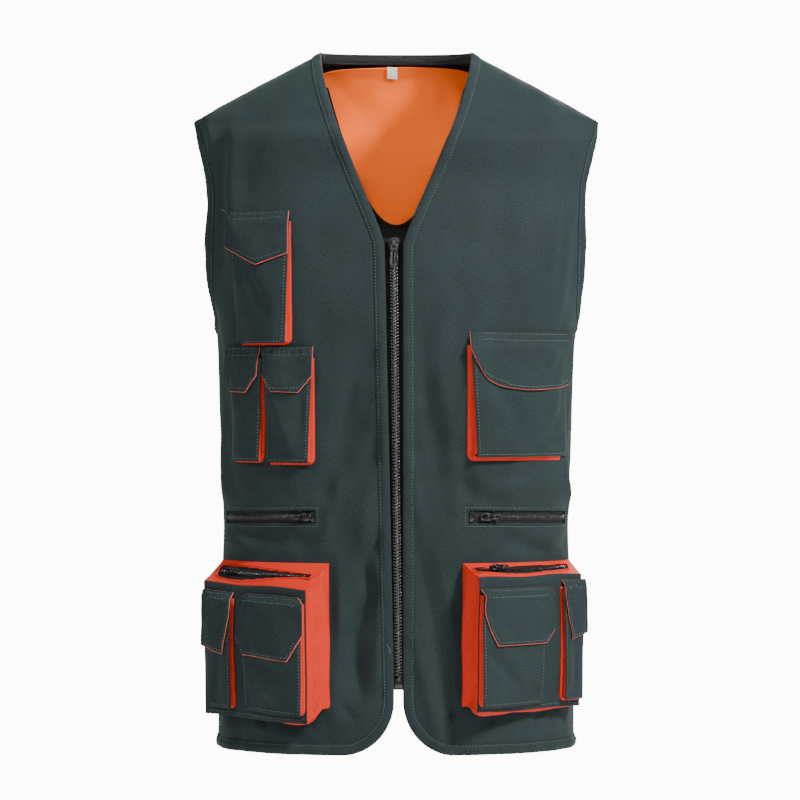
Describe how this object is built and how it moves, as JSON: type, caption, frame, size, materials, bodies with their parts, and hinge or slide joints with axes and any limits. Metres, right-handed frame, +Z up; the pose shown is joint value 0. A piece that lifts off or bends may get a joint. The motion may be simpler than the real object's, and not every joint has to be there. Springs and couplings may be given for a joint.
{
  "type": "utility work vest",
  "caption": "Sleeveless zip-front work vest with contrast bellows pockets, zipped slits, bound edges and hinged zip pulls, in its worn form.",
  "frame": {"origin": "midway between the two neck points, where the shoulder seams meet the neckline, at their height", "axes": "+Z up along the body, -Y the way the wearer faces, +X to the wearer's left"},
  "size_m": [0.4074, 0.2597, 0.6919],
  "materials": {
    "cloth": "matte woven polyester cotton",
    "contrast": "matte woven polyester cotton",
    "lining": "smooth woven lining",
    "tape": "black woven tape",
    "tooth": "black moulded teeth",
    "metal": "black enamelled zip metal",
    "label": "white woven satin, blank"
  },
  "bodies": {
    "root": {"armhole_binding_left": "cloth", "armhole_binding_right": "cloth", "back_panel": "cloth", "cargo_left_face": "cloth", "cargo_left_gusset": "contrast", "cargo_left_narrow_flap": "cloth", "cargo_left_narrow_front": "cloth", "cargo_left_narrow_gusset": "contrast", "cargo_left_slider": "metal", "cargo_left_wide_flap": "cloth", "cargo_left_wide_front": "cloth", "cargo_left_wide_gusset": "contrast", "cargo_left_zip": "tape", "cargo_right_face": "cloth", "cargo_right_gusset": "contrast", "cargo_right_narrow_flap": "cloth", "cargo_right_narrow_front": "cloth", "cargo_right_narrow_gusset": "contrast", "cargo_right_slider": "metal", "cargo_right_wide_flap": "cloth", "cargo_right_wide_front": "cloth", "cargo_right_wide_gusset": "contrast", "cargo_right_zip": "tape", "chest_pocket_left_flap": "cloth", "chest_pocket_left_front": "cloth", "chest_pocket_left_gusset": "contrast", "chest_pocket_right_flap": "cloth", "chest_pocket_right_front": "cloth", "chest_pocket_right_gusset": "contrast", "edge_binding_left": "cloth", "edge_binding_right": "cloth", "front_left": "cloth", "front_right": "cloth", "hem_binding_back": "cloth", "neck_binding": "tape", "neck_facing": "lining", "pen_pocket_inner_flap": "cloth", "pen_pocket_inner_front": "cloth", "pen_pocket_inner_gusset": "contrast", "pen_pocket_outer_flap": "cloth", "pen_pocket_outer_front": "cloth", "pen_pocket_outer_gusset": "contrast", "size_label": "label", "slit_left_slider": "metal", "slit_right_slider": "metal", "slit_zip_left": "tape", "slit_zip_right": "tape", "zip_box": "tooth", "zip_slider": "metal", "zip_tape_left": "tape", "zip_tape_right": "tape", "zip_teeth_left": "tooth", "zip_teeth_right": "tooth"},
    "zip_pull_body": {"zip_pull": "metal"},
    "slit_right_pull_body": {"slit_right_pull": "metal"},
    "slit_left_pull_body": {"slit_left_pull": "metal"},
    "cargo_right_pull_body": {"cargo_right_pull": "metal"},
    "cargo_left_pull_body": {"cargo_left_pull": "metal"}
  },
  "joints": [
    {"name": "zip_pull_swing", "type": "hinge", "parent": "root", "child": "zip_pull_body", "pos_m": [-0.0021, -0.11195, -0.19957], "axis": [-1, 0.0004, -0.0056], "range_deg": [0, 170]},
    {"name": "slit_right_pull_swing", "type": "hinge", "parent": "root", "child": "slit_right_pull_body", "pos_m": [-0.08808, -0.09992, -0.46351], "axis": [-0.0263, -0.015, 0.9995], "range_deg": [0, 170]},
    {"name": "slit_left_pull_swing", "type": "hinge", "parent": "root", "child": "slit_left_pull_body", "pos_m": [0.08808, -0.09992, -0.46351], "axis": [-0.0263, 0.015, -0.9995], "range_deg": [0, 170]},
    {"name": "cargo_right_pull_swing", "type": "hinge", "parent": "root", "child": "cargo_right_pull_body", "pos_m": [-0.16384, -0.06323, -0.51592], "axis": [-0.4841, -0.4336, -0.76], "range_deg": [0, 170]},
    {"name": "cargo_left_pull_swing", "type": "hinge", "parent": "root", "child": "cargo_left_pull_body", "pos_m": [0.09597, -0.10864, -0.51051], "axis": [0.3856, -0.8076, -0.4461], "range_deg": [0, 170]}
  ]
}
